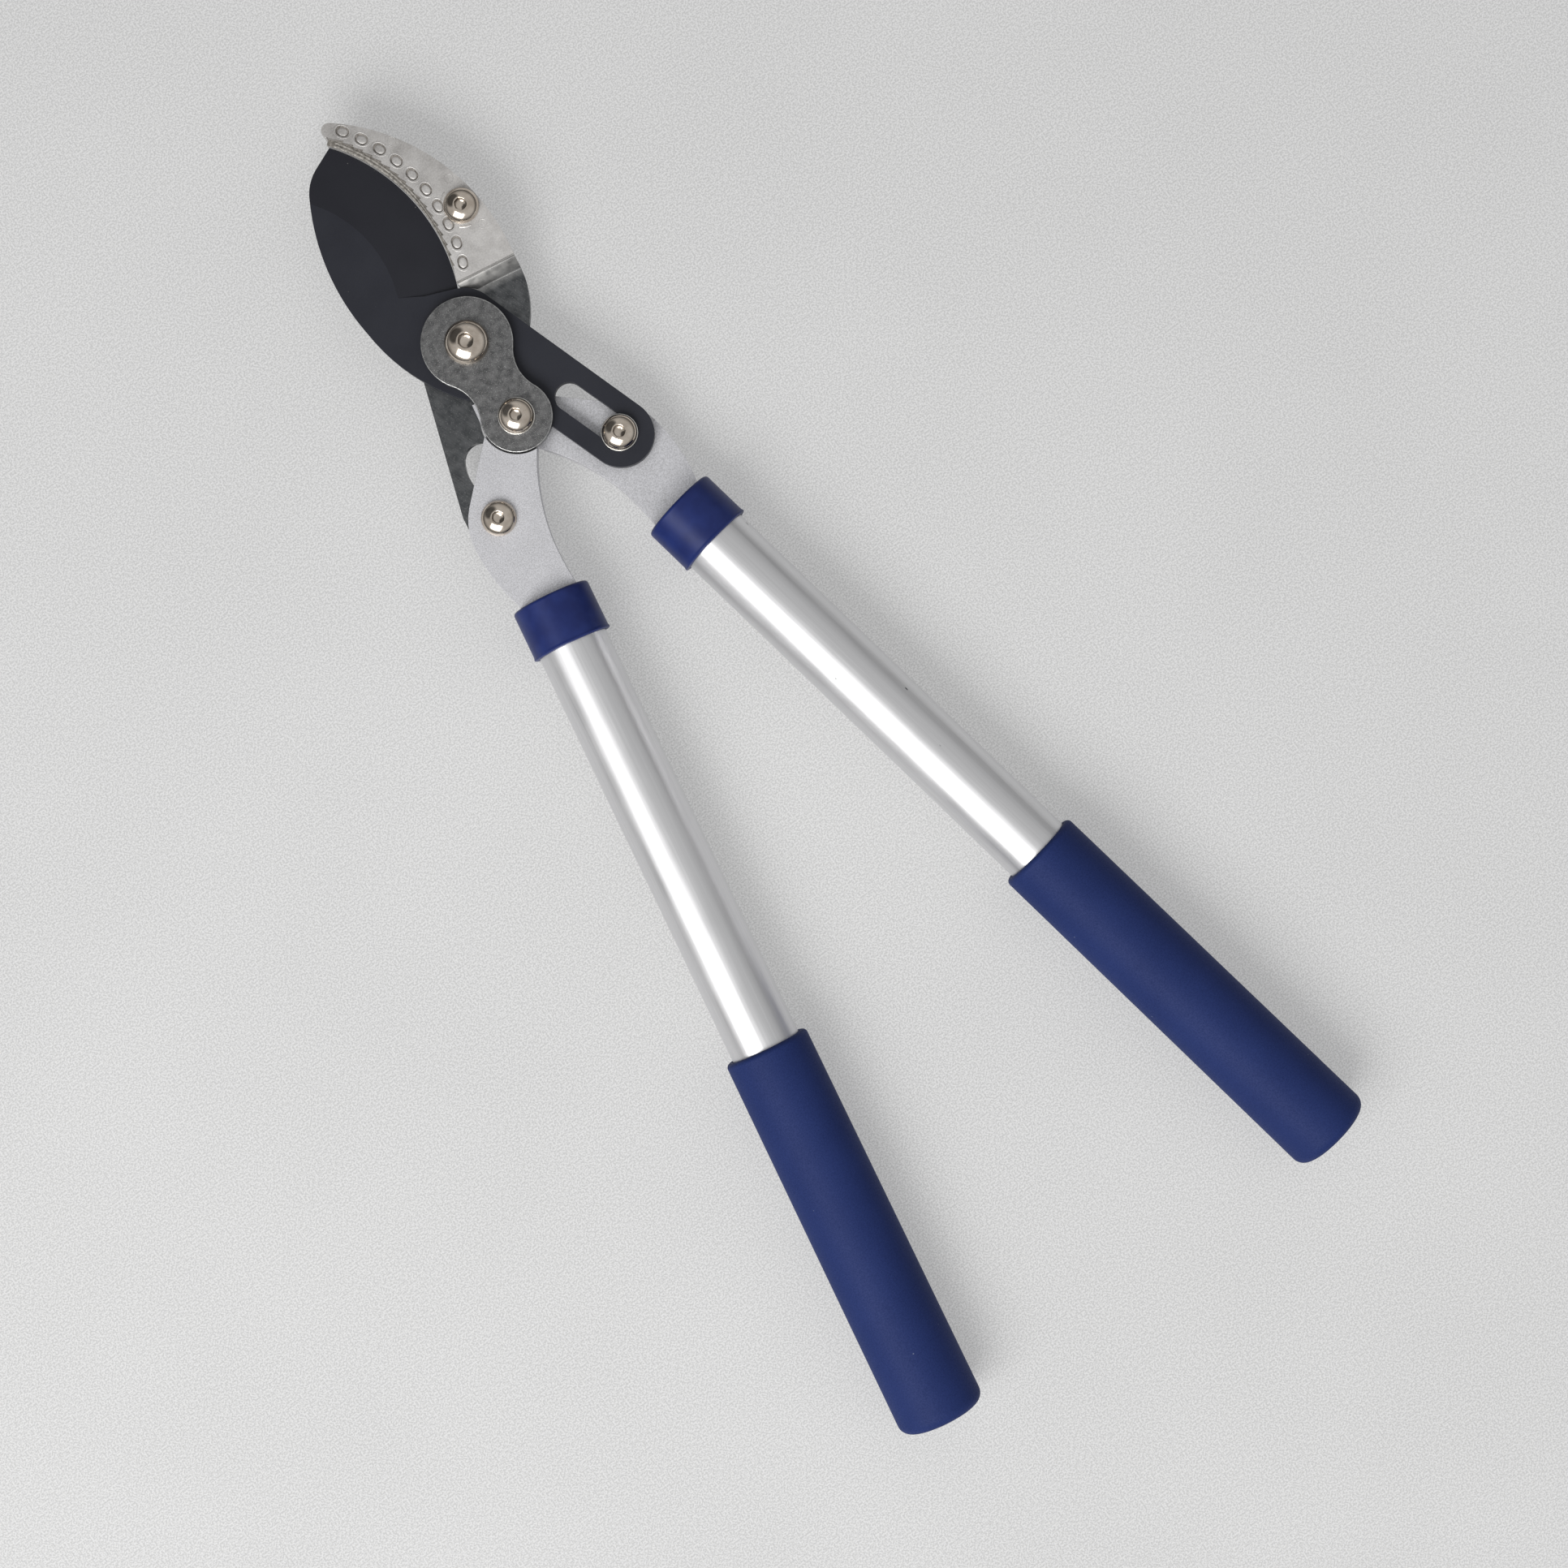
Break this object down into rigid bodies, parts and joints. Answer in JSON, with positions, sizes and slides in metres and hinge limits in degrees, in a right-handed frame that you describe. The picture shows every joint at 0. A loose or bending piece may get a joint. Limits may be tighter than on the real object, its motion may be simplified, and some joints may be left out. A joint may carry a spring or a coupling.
{
  "type": "anvil loppers",
  "caption": "Two-handed anvil loppers: slotted blade on a link plate, cast toothed anvil, tube handles with soft grips and collars.",
  "frame": {"origin": "middle of the tool's bounding box in X and Y, at the underside of the grips, with the jaws shut", "axes": "+Y from the grips to the jaws along the line half-way between the handles, +Z the side with the bolt heads, +X to the right handle"},
  "size_m": [0.2236, 0.5564, 0.0356],
  "materials": {
    "arm_steel": "dark brushed forged steel",
    "pad_casting": "matt grey pressure die casting",
    "plate_steel": "dark speckled satin steel plate",
    "blade_coating": "matt black low-friction coating",
    "bolt_nickel": "polished nickel plate",
    "nut_steel": "zinc-plated steel",
    "bush_brass": "plain turned brass",
    "head_casting": "silver sparkle enamel on a casting",
    "tube_aluminium": "satin anodised",
    "collar_plastic": "satin dark blue moulding",
    "grip_rubber": "fine matt dark blue soft grip",
    "plug_plastic": "plain black moulding"
  },
  "bodies": {
    "left_handle": {"anvil_arm": "arm_steel", "anvil_pad": "pad_casting", "anvil_screw": "bolt_nickel", "anvil_nut": "nut_steel", "link_plate": "plate_steel", "main_pivot_bolt": "bolt_nickel", "main_pivot_bush": "bush_brass", "main_pivot_nut": "nut_steel", "handle_pivot_bolt": "bolt_nickel", "handle_pivot_bush": "bush_brass", "handle_pivot_washers": "nut_steel", "handle_pivot_nut": "nut_steel", "arm_bolt": "bolt_nickel", "arm_nut": "nut_steel", "back_washers": "nut_steel", "left_head": "head_casting", "left_tube": "tube_aluminium", "left_tube_pin": "nut_steel", "left_collar": "collar_plastic", "left_end_plug": "plug_plastic", "left_grip": "grip_rubber"},
    "right_handle": {"right_head": "head_casting", "right_tube": "tube_aluminium", "right_tube_pin": "nut_steel", "right_collar": "collar_plastic", "right_end_plug": "plug_plastic", "right_grip": "grip_rubber", "slot_bolt": "bolt_nickel", "slot_bush": "nut_steel", "slot_washers": "nut_steel", "slot_nut": "nut_steel"},
    "blade_body": {"blade": "blade_coating"}
  },
  "joints": [
    {"name": "handle_hinge", "type": "hinge", "parent": "left_handle", "child": "right_handle", "pos_m": [0, 0.14153, 0.0178], "axis": [0, 0, 1], "range_deg": [0, 55]},
    {"name": "blade_hinge", "type": "hinge", "parent": "left_handle", "child": "blade_body", "pos_m": [0.00109, 0.17621, 0.0178], "axis": [0, 0, 1], "range_deg": [0, 28.8]}
  ],
  "couplings": [
    {"joint": "blade_hinge", "follows": "handle_hinge", "ratio": 0.5218}
  ]
}
